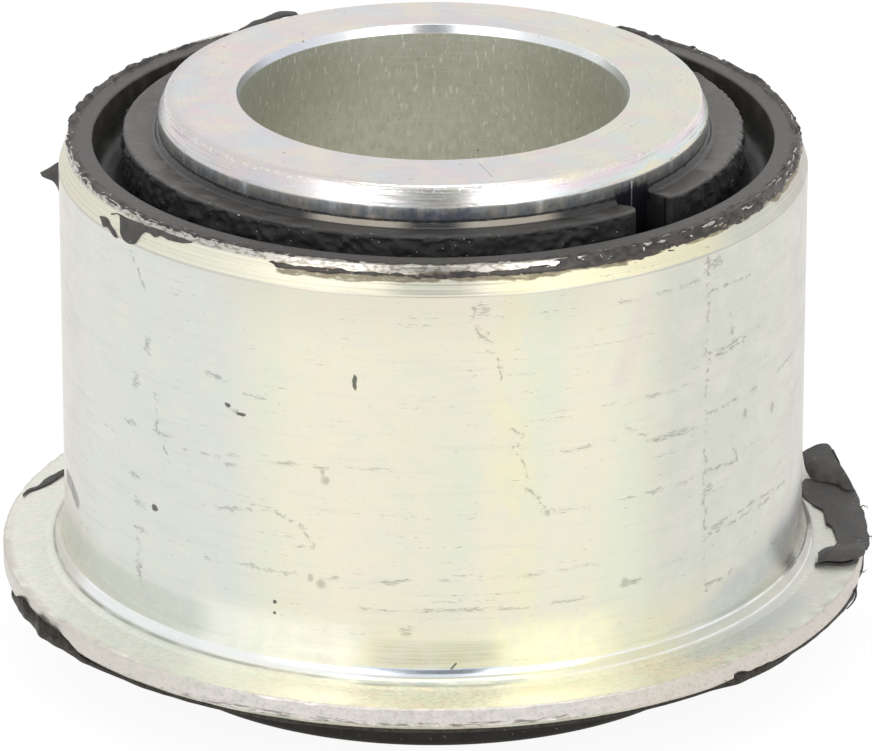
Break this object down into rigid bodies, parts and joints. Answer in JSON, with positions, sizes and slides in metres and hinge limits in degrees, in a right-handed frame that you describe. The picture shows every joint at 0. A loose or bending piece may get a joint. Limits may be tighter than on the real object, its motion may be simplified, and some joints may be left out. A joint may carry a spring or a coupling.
{
  "type": "rubber metal bush",
  "caption": "Flanged rubber-metal bush: a thick steel sleeve bonded by rubber inside a thin flanged steel shell, pressed into an eye to carry a pin with some give.",
  "frame": {"origin": "on the bore axis, in the plane of the flange's face that seats on the eye", "axes": "+Z along the bore axis, from the flange towards the open rim; turned about Z, except for one notch in the rubber ring, centred 45 degrees from +X towards -Y"},
  "size_m": [0.0678, 0.0678, 0.045],
  "materials": {
    "inner_sleeve": "turned steel, bright zinc plated with a faint iridescent tint",
    "outer_sleeve": "drawn and turned steel, bright zinc plated, fine scratches",
    "rubber": "matte black vulcanised rubber with torn flash at its edges"
  },
  "bodies": {
    "root": {"inner_sleeve": "inner_sleeve", "outer_sleeve": "outer_sleeve", "rubber_body": "rubber"}
  },
  "joints": []
}
